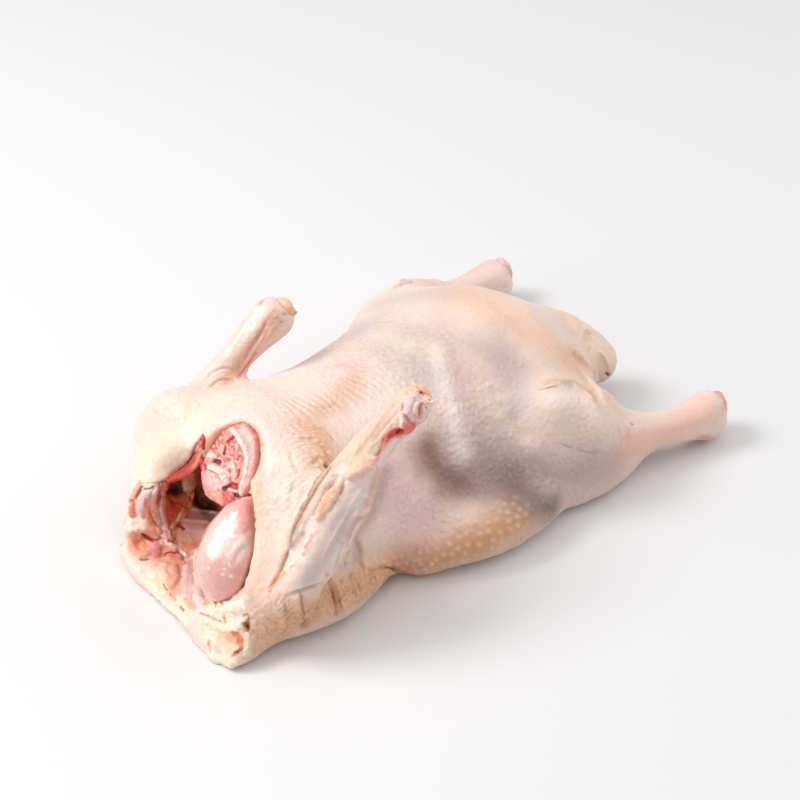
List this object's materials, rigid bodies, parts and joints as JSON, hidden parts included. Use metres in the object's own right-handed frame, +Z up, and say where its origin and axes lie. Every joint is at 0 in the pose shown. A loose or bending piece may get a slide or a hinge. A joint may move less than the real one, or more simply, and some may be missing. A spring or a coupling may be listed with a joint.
{
  "type": "whole raw duck",
  "caption": "Plucked raw duck lying on its breast, back up, with an open neck end, short wing stumps raised, legs cut at the hock, and a stub tail.",
  "frame": {"origin": "middle of the outline's rectangle, on the table", "axes": "+Y towards the tail, +X to the duck's left, +Z up from the table"},
  "size_m": [0.2218, 0.3682, 0.1199],
  "materials": {
    "skin": "moist plucked poultry skin, cream and pink with grey patches",
    "cut_bone": "cut spongy bone, moist",
    "raw_flesh": "wet raw muscle",
    "cartilage": "moist cartilage and joint skin"
  },
  "bodies": {
    "root": {"carcass": "skin", "neck_stump": "cut_bone", "breast_muscle": "raw_flesh", "wing_bone_left": "cartilage", "wing_bone_right": "cartilage", "hock_joint_left": "cartilage", "hock_joint_right": "cartilage"}
  },
  "joints": []
}
